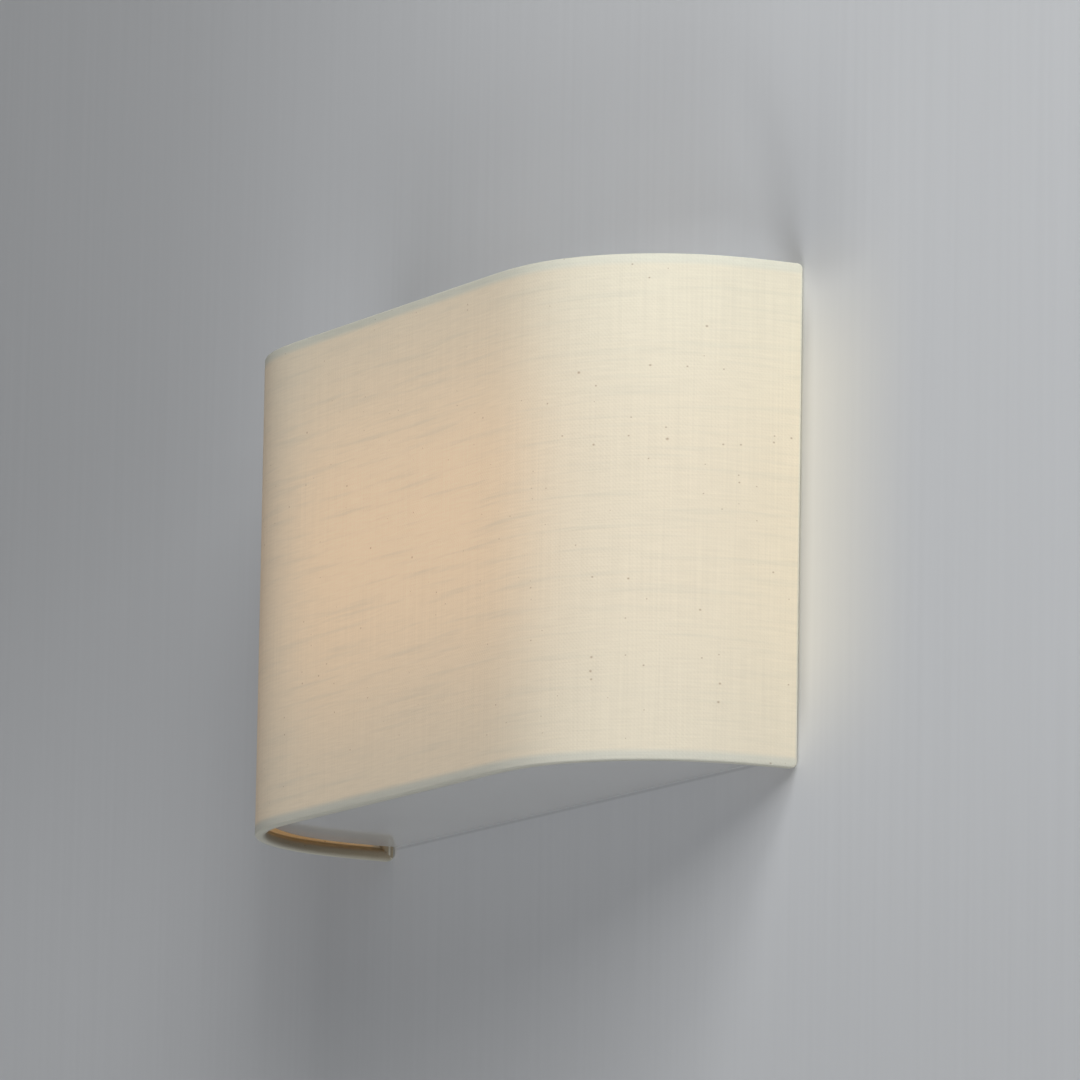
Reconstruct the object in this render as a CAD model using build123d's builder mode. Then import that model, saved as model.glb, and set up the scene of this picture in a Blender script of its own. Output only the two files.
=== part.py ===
from build123d import *
import os
from math import cos, radians, sin

os.makedirs("parts", exist_ok=True)

# All sizes are in millimetres. X runs along the wall, +Y into the wall, Z up. The wall's face is
# y = 0 and the origin is the middle of the two wall box slots, at half the shade's height.

# Shade: flat front, quarter-round corners, short straight sides to the wall
shade_width = 304.8
shade_height = 177.8
shade_depth = 82.55
corner_radius = 68.2
cloth_thickness = 0.8
liner_thickness = 0.4
wire_radius = 1.2
hem_width = 10.0
wall_gap = 0.3

# Hangers and studs that carry the shade
hanger_width = 12.0
hanger_reach = 48.0
hanger_angle = 45.0
stud_radius = 2.0
stud_head_radius = 4.0
stud_head_thickness = 1.0
nut_radius = 6.0
nut_thickness = 2.9
nut_grooves = 24
nut_groove_radius = 0.35

# Sheet metal
plate_recess = 5.2
plate_thickness = 1.2
back_thickness = 1.5
flange_depth = 12.0
bend_radius = 2.0
vent_length = 26.0
vent_width = 3.0
vent_pitch = 7.0
vent_count = 5

# Wall box screws and cable entry
small_box_spacing = 69.85
large_box_spacing = 88.9
box_slot_radius = 2.3
cable_radius = 6.5
bushing_wall = 2.0
bushing_flange = 2.0
bushing_flange_radius = 11.5

# Lamp holders. Each size that ends in rise is a height above the bottom plate
lamp_spacing = 120.0
lamp_axis_depth = 41.0
bracket_rise = 27.5
bracket_width = 24.0
bracket_thickness = 1.6
bracket_leg = 22.0
bracket_screw_spacing = 12.0
holder_radius = 10.5
holder_height = 30.0
holder_floor = 2.5
holder_rim = 3.0
holder_lip = 1.0
tube_radius = 4.8
tube_bore = 3.2
tube_grip = 6.0
tube_tail = 1.0
tube_nut_size = 14.0
tube_nut_thickness = 3.5
screw_shell_wall = 0.8
screw_shell_height = 20.0
centre_contact_radius = 2.2
centre_contact_height = 2.2

# Lamps
cap_radius = 5.9
cap_thread_depth = 0.45
cap_thread_pitch = 2.54
cap_threads = 6
cap_thread_crest = 0.76
cap_collar_radius = 7.4
cap_collar_height = 3.0
cap_contact_radius = 2.4
cap_contact_height = 1.2
cap_contact_tip = 1.44
cap_insulator_height = 2.4
glass_radius = 17.5
glass_height = 76.0
glass_wall = 1.0
glass_neck_radius = 6.6
emitter_radius = 4.0
emitter_height = 38.0

# Terminal block and wiring
terminal_rise = 40.5
terminal_pitch = 11.0
terminal_height = 16.0
terminal_depth = 14.0
terminal_base_depth = 10.0
terminal_tower_width = 8.4
terminal_ear = 10.0
terminal_ear_thickness = 3.0
terminal_chamfer = 0.6
barrel_radius = 3.2
barrel_bore = 2.5
barrel_length = 12.0
barrel_depth = 5.8
clamp_screw_radius = 2.0
clamp_screw_spacing = 7.0
clamp_screw_recess = 1.0
wire_insulation_radius = 1.1
wire_pair_spacing = 2.5
wire_rise = 10.0
wire_level_step = 3.0
wire_bend = 8.0
wire_grip = 7.0
clip_place = 35.0
clip_length = 8.0
clip_wall = 1.4
earth_screw_drop = 25.0
lug_thickness = 0.8
lug_width = 7.0
crimp_length = 6.0

# Machine screws
screw_radius = 2.0
screw_head_radius = 3.6
screw_head_thickness = 2.2
small_screw_radius = 1.5
small_screw_head_radius = 2.8
small_screw_head_thickness = 1.8
screw_slot_width = 0.8
screw_slot_depth = 0.9

# Clearances
layer_gap = 0.05
fit_gap = 0.05
thread_gap = 0.1
seat_gap = 0.3
shade_clearance = 1.2

# Worked out from the sizes above
half_width = shade_width / 2
half_height = shade_height / 2
roll_radius = cloth_thickness + wire_radius
liner_start = cloth_thickness + layer_gap
hem_start = liner_start + liner_thickness + layer_gap
plate_inset = 2 * roll_radius + shade_clearance
plate_half_width = half_width - plate_inset
plate_level = half_height - plate_recess
plate_inner_level = plate_level - plate_thickness
ring_level = half_height - roll_radius
hanger_thickness = plate_recess - roll_radius - wire_radius
hanger_level = plate_level + hanger_thickness
corner_centre_x = half_width - corner_radius
corner_centre_y = corner_radius - shade_depth
box_slot_spacing = (small_box_spacing + large_box_spacing) / 2
box_slot_length = (large_box_spacing - small_box_spacing) / 2 + 2 * box_slot_radius
bushing_radius = cable_radius + bushing_wall
bracket_level = bracket_rise - plate_inner_level
terminal_level = terminal_rise - plate_inner_level
wire_level = wire_rise - plate_inner_level
screw_shell_bore = cap_radius + thread_gap
screw_shell_radius = screw_shell_bore + screw_shell_wall
shell_level = bracket_level + tube_grip + holder_floor
lamp_level = shell_level + centre_contact_height + seat_gap
cap_level = lamp_level + cap_contact_height + cap_insulator_height
collar_level = bracket_level + holder_height + seat_gap
glass_level = collar_level + cap_collar_height
barrel_y = -(back_thickness + barrel_depth)
terminal_width = 3 * terminal_pitch
earth_level = terminal_level - earth_screw_drop

# Sketches on this plane have X to the right and Z up, and grow from the wall into the room
wall_plane = Plane(origin=(0, 0, 0), x_dir=(1, 0, 0), z_dir=(0, -1, 0))

sides = (("left", -1), ("right", 1))


def keep(piece, name):
    """Labels a finished piece and writes its file."""
    piece.part.label = name
    export_step(piece.part, f"parts/{name}.step")


def shade_points(inset, rear):
    """Corners of the shade's plan, before rounding, at a distance inside its face."""
    x = half_width - inset
    front = inset - shade_depth
    return (-x, rear), (-x, front), (x, front), (x, rear)


def shade_line(inset, rear, level=0.0):
    """Line round the shade's plan from the left wall edge to the right one."""
    with BuildLine(Plane.XY.offset(level)) as run:
        FilletPolyline(*shade_points(inset, rear), radius=corner_radius - inset)
    return run.line


def axis_plane(x, y, level):
    """Plane for the half section of a turned piece: local x is the radius, local y is Z."""
    return Plane(origin=(x, y, level), x_dir=(1, 0, 0), z_dir=(0, -1, 0))


def turned(x, y, level, outline):
    """Piece turned about a vertical axis from a closed outline of (radius, height) points."""
    with BuildPart() as piece:
        with BuildSketch(axis_plane(x, y, level)):
            with BuildLine():
                Polyline(*outline, close=True)
            make_face()
        revolve(axis=Axis((x, y, level), (0, 0, 1)))
    return piece


def pan_screws(places, seat_depth, radius, head_radius, head_thickness):
    """Slotted screws from the room side. They end flush with the back of the wall plate."""
    with BuildPart() as screws:
        with BuildSketch(wall_plane.offset(layer_gap)):
            with Locations(*places):
                Circle(radius)
        extrude(amount=seat_depth - layer_gap)
        with BuildSketch(wall_plane.offset(seat_depth)):
            with Locations(*places):
                Circle(head_radius)
        extrude(amount=head_thickness)
        head_rims = screws.edges().filter_by(GeomType.CIRCLE).group_by(Axis.Y)[0]
        fillet(head_rims, head_thickness / 3)
        with BuildSketch(wall_plane.offset(seat_depth + head_thickness - screw_slot_depth)):
            with Locations(*places):
                Rectangle(2 * head_radius, screw_slot_width)
        extrude(amount=screw_slot_depth, mode=Mode.SUBTRACT)
    return screws


# ---- Shade -------------------------------------------------------------------------------

hanger_out = (cos(radians(hanger_angle)), -sin(radians(hanger_angle)))


def hanger_plane(sign, level):
    """Plane at a corner's centre whose local x points out through the hanger."""
    return Plane(
        origin=(sign * corner_centre_x, corner_centre_y, level),
        x_dir=(sign * hanger_out[0], hanger_out[1], 0),
        z_dir=(0, 0, 1),
    )


# Cloth, bonded over the liner and rolled round the wires at all four edges
hem_height = hem_width - roll_radius
with BuildPart() as fabric_cover:
    fold_y = -wall_gap - 2 * roll_radius
    with BuildSketch(Plane(origin=(-half_width, fold_y, 0), x_dir=(1, 0, 0), z_dir=(0, -1, 0))):
        Rectangle(cloth_thickness, 2 * ring_level, align=(Align.MIN, Align.CENTER))
        for end in (-1, 1):
            with Locations((roll_radius, end * ring_level)):
                Circle(roll_radius)
            with Locations((hem_start, end * (ring_level - hem_height / 2))):
                Rectangle(cloth_thickness, hem_height, align=(Align.MIN, Align.CENTER))
        for end in (-1, 1):
            with Locations((roll_radius, end * ring_level)):
                Circle(wire_radius + layer_gap, mode=Mode.SUBTRACT)
    sweep(path=shade_line(0, fold_y))
    for side, sign in sides:
        fold_x = sign * (half_width - roll_radius)
        hem_x = sign * (half_width - hem_start - cloth_thickness / 2)
        with BuildSketch(Plane.XY.offset(-half_height)):
            with Locations((fold_x, fold_y + roll_radius)):
                Rectangle(2 * roll_radius, 2 * roll_radius)
        extrude(amount=shade_height)
        with BuildSketch(Plane.XY.offset(roll_radius - ring_level)):
            with Locations((hem_x, fold_y - (hem_height - roll_radius) / 2)):
                Rectangle(cloth_thickness, hem_height - roll_radius)
        extrude(amount=2 * (ring_level - roll_radius))
        with BuildSketch(wall_plane.offset(wall_gap + cloth_thickness)):
            with Locations((fold_x, -ring_level), (fold_x, ring_level)):
                Circle(wire_radius + layer_gap)
        extrude(amount=2 * roll_radius - cloth_thickness, mode=Mode.SUBTRACT)
        with BuildSketch(Plane.XY.offset(-ring_level)):
            with Locations((fold_x, fold_y + roll_radius)):
                Circle(wire_radius + layer_gap)
        extrude(amount=2 * ring_level, mode=Mode.SUBTRACT)
        with BuildSketch(hanger_plane(sign, plate_level - layer_gap)):
            slot_start = corner_radius - 2 * roll_radius - shade_clearance
            with Locations((slot_start, 0)):
                Rectangle(
                    corner_radius - liner_start - liner_thickness - slot_start,
                    hanger_width + 2 * seat_gap,
                    align=(Align.MIN, Align.CENTER),
                )
        extrude(amount=hanger_thickness + layer_gap, mode=Mode.SUBTRACT)
keep(fabric_cover, "fabric_cover")

# Clear plastic sheet inside the cloth, between the rolled edges
with BuildPart() as shade_liner:
    liner_rear = -wall_gap - 2 * roll_radius - layer_gap
    liner_height = 2 * (half_height - 2 * roll_radius - layer_gap)
    with BuildSketch(Plane(origin=(-half_width, liner_rear, 0), x_dir=(1, 0, 0), z_dir=(0, -1, 0))):
        with Locations((liner_start, 0)):
            Rectangle(liner_thickness, liner_height, align=(Align.MIN, Align.CENTER))
    sweep(path=shade_line(0, liner_rear))
keep(shade_liner, "shade_liner")

# Wires in the top and bottom hems
for name, level in (("top_ring", ring_level), ("bottom_ring", -ring_level)):
    with BuildPart() as ring:
        ring_rear = -wall_gap - cloth_thickness
        ring_start = (-half_width + roll_radius, ring_rear, level)
        with BuildSketch(Plane(origin=ring_start, x_dir=(1, 0, 0), z_dir=(0, -1, 0))):
            Circle(wire_radius)
        sweep(path=shade_line(roll_radius, ring_rear, level))
    keep(ring, name)

for side, sign in sides:
    # Wire in the wall edge, welded between the two rings
    with BuildPart() as upright:
        upright_half = ring_level - wire_radius
        with BuildSketch(Plane.XY.offset(-upright_half)):
            with Locations((sign * (half_width - roll_radius), -wall_gap - roll_radius)):
                Circle(wire_radius)
        extrude(amount=2 * upright_half)
    keep(upright, f"{side}_upright")

    # Strip welded under the top wire. It lies on the top plate with the stud through its hole
    with BuildPart() as hanger:
        with BuildSketch(hanger_plane(sign, plate_level)):
            with Locations((hanger_reach, 0)):
                Circle(hanger_width / 2)
                Rectangle(corner_radius - hanger_reach, hanger_width, align=(Align.MIN, Align.CENTER))
            with Locations((hanger_reach, 0)):
                Circle(stud_radius + 2 * seat_gap, mode=Mode.SUBTRACT)
        extrude(amount=hanger_thickness)
        with BuildSketch(Plane((sign * corner_centre_x, corner_centre_y, plate_level))):
            Circle(corner_radius - hem_start)
        extrude(amount=hanger_thickness, mode=Mode.INTERSECT)
    keep(hanger, f"{side}_hanger")

    # Knurled nut that holds the hanger down
    stud_place = hanger_plane(sign, 0).from_local_coords((hanger_reach, 0, 0))
    with BuildPart() as thumb_nut:
        with BuildSketch(Plane((stud_place.X, stud_place.Y, hanger_level))):
            Circle(nut_radius)
            Circle(stud_radius + fit_gap, mode=Mode.SUBTRACT)
            with PolarLocations(nut_radius, nut_grooves):
                Circle(nut_groove_radius, mode=Mode.SUBTRACT)
        extrude(amount=nut_thickness)
    keep(thumb_nut, f"{side}_thumb_nut")

# ---- Closing plates and wall plate --------------------------------------------------------


def closing_plate(level):
    """Flat plate in the shade's plan, with its rear edge at the wall."""
    with BuildPart() as plate:
        with BuildSketch(Plane.XY.offset(level)):
            with BuildLine():
                corners = shade_points(plate_inset, -wall_gap)
                FilletPolyline(*corners, radius=corner_radius - plate_inset)
                Line(corners[0], corners[-1])
            make_face()
        extrude(amount=plate_thickness)
    return plate


bottom_plate = closing_plate(-plate_level)
keep(bottom_plate, "bottom_plate")

with BuildPart() as top_plate:
    add(closing_plate(plate_inner_level).part)
    with BuildSketch(Plane.XY.offset(plate_inner_level)):
        for side, sign in sides:
            with Locations((sign * lamp_spacing / 2, -lamp_axis_depth)):
                with GridLocations(vent_pitch, vent_pitch, vent_count, 1):
                    SlotOverall(vent_length, vent_width, rotation=90)
        for side, sign in sides:
            stud_place = hanger_plane(sign, 0).from_local_coords((hanger_reach, 0, 0))
            with Locations((stud_place.X, stud_place.Y)):
                Circle(stud_radius + fit_gap)
    extrude(amount=plate_thickness, mode=Mode.SUBTRACT)
keep(top_plate, "top_plate")

# Studs pressed through the top plate from inside
with BuildPart() as shade_studs:
    for side, sign in sides:
        stud_place = hanger_plane(sign, 0).from_local_coords((hanger_reach, 0, 0))
        with BuildSketch(Plane((stud_place.X, stud_place.Y, plate_inner_level))):
            Circle(stud_radius)
        extrude(amount=plate_thickness + hanger_thickness + nut_thickness)
        with BuildSketch(Plane((stud_place.X, stud_place.Y, plate_inner_level))):
            Circle(stud_head_radius)
        extrude(amount=-stud_head_thickness)
keep(shade_studs, "shade_studs")

bracket_screw_level = bracket_level + bracket_leg - screw_head_radius - bracket_thickness
bracket_screw_places = [
    (sign * lamp_spacing / 2 + step * bracket_screw_spacing / 2, bracket_screw_level)
    for side, sign in sides
    for step in (-1, 1)
]
ear_place = (terminal_width + terminal_ear) / 2
terminal_screw_places = [(-ear_place, terminal_level), (ear_place, terminal_level)]

# Wall plate with its top and bottom edges folded forward, welded inside the closing plates
with BuildPart() as back_plate:
    with BuildSketch(wall_plane):
        Rectangle(2 * plate_half_width, 2 * plate_inner_level)
    extrude(amount=back_thickness)
    with BuildSketch(wall_plane):
        for end in (-1, 1):
            with Locations((0, end * (plate_inner_level - back_thickness / 2))):
                Rectangle(2 * plate_half_width, back_thickness)
    extrude(amount=flange_depth)
    back_edges = back_plate.edges().filter_by(Axis.X).group_by(Axis.Y)[-1]
    fillet(back_edges, min(bend_radius, 0.9 * back_thickness))
    with BuildSketch(wall_plane):
        with GridLocations(box_slot_spacing, 0, 2, 1):
            SlotOverall(box_slot_length, 2 * box_slot_radius)
        Circle(bushing_radius + fit_gap)
        with Locations(*bracket_screw_places):
            Circle(screw_radius + fit_gap)
        with Locations((0, earth_level)):
            Circle(screw_radius + fit_gap)
        with Locations(*terminal_screw_places):
            Circle(small_screw_radius + fit_gap)
    extrude(amount=back_thickness, mode=Mode.SUBTRACT)
keep(back_plate, "back_plate")

# Bushing that lines the cable hole
with BuildPart() as cable_bushing:
    with BuildSketch(wall_plane):
        Circle(bushing_radius)
    extrude(amount=back_thickness)
    with BuildSketch(wall_plane.offset(back_thickness)):
        Circle(bushing_flange_radius)
    extrude(amount=bushing_flange)
    outer_rim = cable_bushing.edges().filter_by(GeomType.CIRCLE).group_by(Axis.Y)[0]
    fillet(outer_rim, bushing_flange / 3)
    with BuildSketch(wall_plane):
        Circle(cable_radius)
    extrude(amount=back_thickness + bushing_flange, mode=Mode.SUBTRACT)
keep(cable_bushing, "cable_bushing")

# ---- Lamp holders -------------------------------------------------------------------------

lamp_y = -lamp_axis_depth
bracket_front = back_thickness + bracket_thickness
tube_length = tube_grip + bracket_thickness + tube_nut_thickness + tube_tail

for side, sign in sides:
    lamp_x = sign * lamp_spacing / 2

    # Angle bracket on the wall plate, with a round shelf under the holder
    with BuildPart() as lamp_bracket:
        with BuildSketch(wall_plane.offset(back_thickness)):
            with Locations((lamp_x, bracket_level - bracket_thickness)):
                Rectangle(bracket_width, bracket_leg, align=(Align.CENTER, Align.MIN))
            with Locations((lamp_x, bracket_screw_level)):
                with GridLocations(bracket_screw_spacing, 0, 2, 1):
                    Circle(screw_radius + seat_gap, mode=Mode.SUBTRACT)
        extrude(amount=bracket_thickness)
        with BuildSketch(Plane.XY.offset(bracket_level - bracket_thickness)):
            with Locations((lamp_x, lamp_y)):
                Circle(bracket_width / 2)
                Rectangle(
                    bracket_width,
                    lamp_axis_depth - back_thickness,
                    align=(Align.CENTER, Align.MIN),
                )
                Circle(tube_radius + seat_gap, mode=Mode.SUBTRACT)
        extrude(amount=bracket_thickness)
    keep(lamp_bracket, f"{side}_lamp_bracket")

    # Moulded holder body: a cup for the screw shell above a floor, and a grip for the tube below
    cup_radius = screw_shell_radius + fit_gap
    cup_level = tube_grip + holder_floor
    step_level = holder_height - holder_rim
    holder_body = turned(
        lamp_x,
        lamp_y,
        bracket_level,
        [
            (tube_radius + fit_gap, 0),
            (holder_radius, 0),
            (holder_radius, step_level - holder_lip),
            (holder_radius + holder_lip, step_level),
            (holder_radius + holder_lip, holder_height),
            (cup_radius, holder_height),
            (cup_radius, cup_level),
            (0, cup_level),
            (0, tube_grip),
            (tube_radius + fit_gap, tube_grip),
        ],
    )
    keep(holder_body, f"{side}_holder_body")

    # Brass cup that takes the lamp's cap
    screw_shell = turned(
        lamp_x,
        lamp_y,
        shell_level,
        [
            (centre_contact_radius + 2 * screw_shell_wall, 0),
            (screw_shell_radius, 0),
            (screw_shell_radius, screw_shell_height),
            (screw_shell_bore, screw_shell_height),
            (screw_shell_bore, screw_shell_wall),
            (centre_contact_radius + 2 * screw_shell_wall, screw_shell_wall),
        ],
    )
    keep(screw_shell, f"{side}_screw_shell")

    centre_contact = turned(
        lamp_x,
        lamp_y,
        shell_level,
        [
            (0, 0),
            (centre_contact_radius, 0),
            (centre_contact_radius, centre_contact_height / 2),
            (centre_contact_radius / 2, centre_contact_height),
            (0, centre_contact_height),
        ],
    )
    keep(centre_contact, f"{side}_centre_contact")

    # Threaded tube through the bracket. The lamp's wires pass down through it
    threaded_tube = turned(
        lamp_x,
        lamp_y,
        bracket_level + tube_grip - tube_length,
        [
            (tube_bore, 0),
            (tube_radius, 0),
            (tube_radius, tube_length),
            (tube_bore, tube_length),
        ],
    )
    keep(threaded_tube, f"{side}_threaded_tube")

    with BuildPart() as tube_nut:
        with BuildSketch(Plane((lamp_x, lamp_y, bracket_level - bracket_thickness))):
            RegularPolygon(tube_nut_size / 2, 6, major_radius=False)
            Circle(tube_radius + fit_gap, mode=Mode.SUBTRACT)
        extrude(amount=-tube_nut_thickness)
    keep(tube_nut, f"{side}_tube_nut")

bracket_screws = pan_screws(
    bracket_screw_places, bracket_front, screw_radius, screw_head_radius, screw_head_thickness
)
keep(bracket_screws, "bracket_screws")

# ---- Lamps --------------------------------------------------------------------------------


def glass_line(radius, neck, top):
    """Points of the candle-shaped envelope from its neck to its tip, as (radius, height)."""
    return [
        (neck, 0),
        (neck + 0.42 * (radius - neck), 0.09 * top),
        (neck + 0.86 * (radius - neck), 0.22 * top),
        (radius, 0.38 * top),
        (0.84 * radius, 0.62 * top),
        (0.47 * radius, 0.84 * top),
        (0.17 * radius, 0.96 * top),
        (0, top),
    ]


for side, sign in sides:
    lamp_x = sign * lamp_spacing / 2

    lamp_contact = turned(
        lamp_x,
        lamp_y,
        lamp_level,
        [
            (0, 0),
            (cap_contact_tip, 0),
            (cap_contact_radius, cap_contact_height / 2),
            (cap_contact_radius, cap_contact_height),
            (0, cap_contact_height),
        ],
    )
    keep(lamp_contact, f"{side}_lamp_contact")

    # Cap with its rounded thread drawn as rings, from the insulator up to the collar
    cap_top = glass_level - cap_level
    thread_start = cap_top - cap_collar_height - cap_threads * cap_thread_pitch
    thread = []
    for turn in range(cap_threads):
        low = thread_start + turn * cap_thread_pitch
        thread.append((cap_radius - cap_thread_depth, low))
        thread.append((cap_radius, low + (cap_thread_pitch - cap_thread_crest) / 2))
        thread.append((cap_radius, low + (cap_thread_pitch + cap_thread_crest) / 2))
    lamp_cap = turned(
        lamp_x,
        lamp_y,
        cap_level,
        [
            (0, -cap_insulator_height),
            (cap_contact_radius, -cap_insulator_height),
            (cap_radius - cap_thread_depth, 0),
            *thread,
            (cap_radius - cap_thread_depth, cap_top - cap_collar_height),
            (cap_collar_radius, cap_top - cap_collar_height),
            (cap_collar_radius, cap_top),
            (0, cap_top),
        ],
    )
    keep(lamp_cap, f"{side}_lamp_cap")

    # Frosted envelope, open at its neck, standing on the cap
    with BuildPart() as lamp_glass:
        with BuildSketch(axis_plane(lamp_x, lamp_y, glass_level)):
            with BuildLine():
                outer = glass_line(glass_radius, glass_neck_radius, glass_height)
                inner = glass_line(
                    glass_radius - glass_wall,
                    glass_neck_radius - glass_wall,
                    glass_height - glass_wall,
                )
                Spline(*outer, tangents=((0.3, 1), (-1, 0)))
                Spline(*inner, tangents=((0.3, 1), (-1, 0)))
                Line(outer[0], inner[0])
                Line(outer[-1], inner[-1])
            make_face()
        revolve(axis=Axis((lamp_x, lamp_y, glass_level), (0, 0, 1)))
    keep(lamp_glass, f"{side}_lamp_glass")

    # Ceramic column that carries the light emitting strips
    with BuildPart() as lamp_emitter:
        with BuildSketch(Plane((lamp_x, lamp_y, glass_level))):
            RegularPolygon(emitter_radius, 8)
        extrude(amount=emitter_height)
        chamfer(lamp_emitter.edges().group_by(Axis.Z)[-1], emitter_radius / 5)
    keep(lamp_emitter, f"{side}_lamp_emitter")

# ---- Terminal block -----------------------------------------------------------------------

pole_places = [(-terminal_pitch, terminal_level), (0, terminal_level), (terminal_pitch, terminal_level)]
clamp_screw_places = [
    (x, z + step * clamp_screw_spacing / 2) for x, z in pole_places for step in (-1, 1)
]
barrel_plane = Plane.XY.offset(terminal_level - barrel_length / 2)
terminal_front = back_thickness + terminal_depth

with BuildPart() as terminal_block:
    with BuildSketch(wall_plane.offset(back_thickness)):
        with Locations((0, terminal_level)):
            Rectangle(terminal_width + 2 * terminal_ear, terminal_height)
        with Locations(*terminal_screw_places):
            Circle(small_screw_radius + fit_gap, mode=Mode.SUBTRACT)
    extrude(amount=terminal_ear_thickness)
    with BuildSketch(wall_plane.offset(back_thickness)):
        with Locations((0, terminal_level)):
            Rectangle(terminal_width, terminal_height)
    extrude(amount=terminal_base_depth)
    with BuildSketch(wall_plane.offset(back_thickness)):
        with Locations(*pole_places):
            Rectangle(terminal_tower_width, terminal_height)
    extrude(amount=terminal_depth)
    front_rims = terminal_block.edges().group_by(Axis.Y)[0]
    chamfer(front_rims, terminal_chamfer)
    with BuildSketch(Plane.XY.offset(terminal_level - terminal_height / 2)):
        with Locations(*[(x, barrel_y) for x, z in pole_places]):
            Circle(barrel_radius + fit_gap)
    extrude(amount=terminal_height, mode=Mode.SUBTRACT)
    with BuildSketch(wall_plane.offset(back_thickness + barrel_depth)):
        with Locations(*clamp_screw_places):
            Circle(clamp_screw_radius + fit_gap)
    extrude(amount=terminal_depth - barrel_depth, mode=Mode.SUBTRACT)
keep(terminal_block, "terminal_block")

with BuildPart() as terminal_barrels:
    with BuildSketch(barrel_plane):
        with Locations(*[(x, barrel_y) for x, z in pole_places]):
            Circle(barrel_radius)
            Circle(barrel_bore, mode=Mode.SUBTRACT)
    extrude(amount=barrel_length)
keep(terminal_barrels, "terminal_barrels")

with BuildPart() as clamp_screws:
    clamp_screw_seat = back_thickness + barrel_depth + barrel_radius + layer_gap
    clamp_screw_top = terminal_front - clamp_screw_recess
    with BuildSketch(wall_plane.offset(clamp_screw_seat)):
        with Locations(*clamp_screw_places):
            Circle(clamp_screw_radius)
    extrude(amount=clamp_screw_top - clamp_screw_seat)
    with BuildSketch(wall_plane.offset(clamp_screw_top - screw_slot_depth)):
        with Locations(*clamp_screw_places):
            Rectangle(2 * clamp_screw_radius, screw_slot_width)
    extrude(amount=screw_slot_depth, mode=Mode.SUBTRACT)
keep(clamp_screws, "clamp_screws")

terminal_screws = pan_screws(
    terminal_screw_places,
    back_thickness + terminal_ear_thickness,
    small_screw_radius,
    small_screw_head_radius,
    small_screw_head_thickness,
)
keep(terminal_screws, "terminal_screws")

# ---- Wiring -------------------------------------------------------------------------------

wire_end = terminal_level - terminal_height / 2 + wire_grip
wire_start = bracket_level + tube_grip


def wire_run(sign):
    """Y of a lamp's two wires where they run along the wall plate."""
    return barrel_y - sign * wire_pair_spacing / 2


for side, sign in sides:
    for polarity, pole in (("live", -1), ("neutral", 1)):
        # The wire to the nearer pole runs above the one to the farther pole
        farther = 0 if pole == sign else 1
        start_x = sign * (lamp_spacing / 2 + (2 * farther - 1) * (wire_insulation_radius + seat_gap))
        run_y = wire_run(sign)
        run_level = wire_level - farther * wire_level_step
        route = [
            (start_x, lamp_y, wire_start),
            (start_x, lamp_y, run_level),
            (start_x, run_y, run_level),
            (pole * terminal_pitch, run_y, run_level),
            (pole * terminal_pitch, run_y, wire_end),
        ]
        with BuildPart() as wire:
            with BuildLine() as wire_path:
                FilletPolyline(*route, radius=wire_bend)
            with BuildSketch(Plane((start_x, lamp_y, wire_start))):
                Circle(wire_insulation_radius)
            sweep(path=wire_path.line)
        keep(wire, f"{side}_{polarity}_wire")
        print(f"{side}_{polarity}_wire length {wire_path.wire().length:.0f}, bends {wire_bend}")

    # Saddle that holds the lamp's two wires against the wall plate
    with BuildPart() as wire_clip:
        clip_depth = -wire_run(sign) + wire_insulation_radius + clip_wall
        clip_height = wire_level_step + 2 * (wire_insulation_radius + clip_wall)
        clip_x = sign * clip_place
        clip_level = wire_level - wire_level_step / 2
        with BuildSketch(wall_plane.offset(back_thickness)):
            with Locations((clip_x, clip_level)):
                RectangleRounded(clip_length, clip_height, clip_wall / 2)
        extrude(amount=clip_depth - back_thickness)
        clip_side = clip_x - clip_length / 2
        with BuildSketch(Plane(origin=(clip_side, 0, 0), x_dir=(0, 1, 0), z_dir=(1, 0, 0))):
            with Locations((wire_run(sign), clip_level)):
                with GridLocations(0, wire_level_step, 1, 2):
                    Circle(wire_insulation_radius + fit_gap)
        extrude(amount=clip_length, mode=Mode.SUBTRACT)
    keep(wire_clip, f"{side}_wire_clip")

# Earth wire from the middle pole down to its ring lug
crimp_level = earth_level + screw_head_radius + lug_thickness
with BuildPart() as earth_wire:
    with BuildSketch(Plane((0, barrel_y, crimp_level))):
        Circle(wire_insulation_radius)
    extrude(amount=wire_end - crimp_level)
keep(earth_wire, "earth_wire")

with BuildPart() as earth_lug:
    crimp_radius = wire_insulation_radius + fit_gap + lug_thickness
    crimp_back = barrel_y + crimp_radius - lug_thickness / 2
    lug_y = -back_thickness - lug_thickness
    with BuildSketch(Plane((0, barrel_y, crimp_level))):
        Circle(crimp_radius)
    extrude(amount=crimp_length)
    with BuildSketch(Plane((-lug_width / 2, 0, 0), x_dir=(0, 1, 0), z_dir=(1, 0, 0))):
        with BuildLine():
            Polyline(
                (lug_y, earth_level - screw_head_radius),
                (-back_thickness, earth_level - screw_head_radius),
                (-back_thickness, crimp_level),
                (crimp_back + lug_thickness / 2, crimp_level + 2 * lug_thickness),
                (crimp_back + lug_thickness / 2, crimp_level + crimp_length),
                (crimp_back - lug_thickness / 2, crimp_level + crimp_length),
                (crimp_back - lug_thickness / 2, crimp_level + lug_thickness),
                (lug_y, crimp_level - lug_thickness),
                close=True,
            )
        make_face()
    extrude(amount=lug_width)
    with BuildSketch(wall_plane.offset(back_thickness)):
        with Locations((0, earth_level)):
            Circle(screw_radius + seat_gap)
    extrude(amount=lug_thickness, mode=Mode.SUBTRACT)
    with BuildSketch(Plane((0, barrel_y, crimp_level))):
        Circle(wire_insulation_radius + fit_gap)
    extrude(amount=crimp_length, mode=Mode.SUBTRACT)
keep(earth_lug, "earth_lug")

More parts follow.
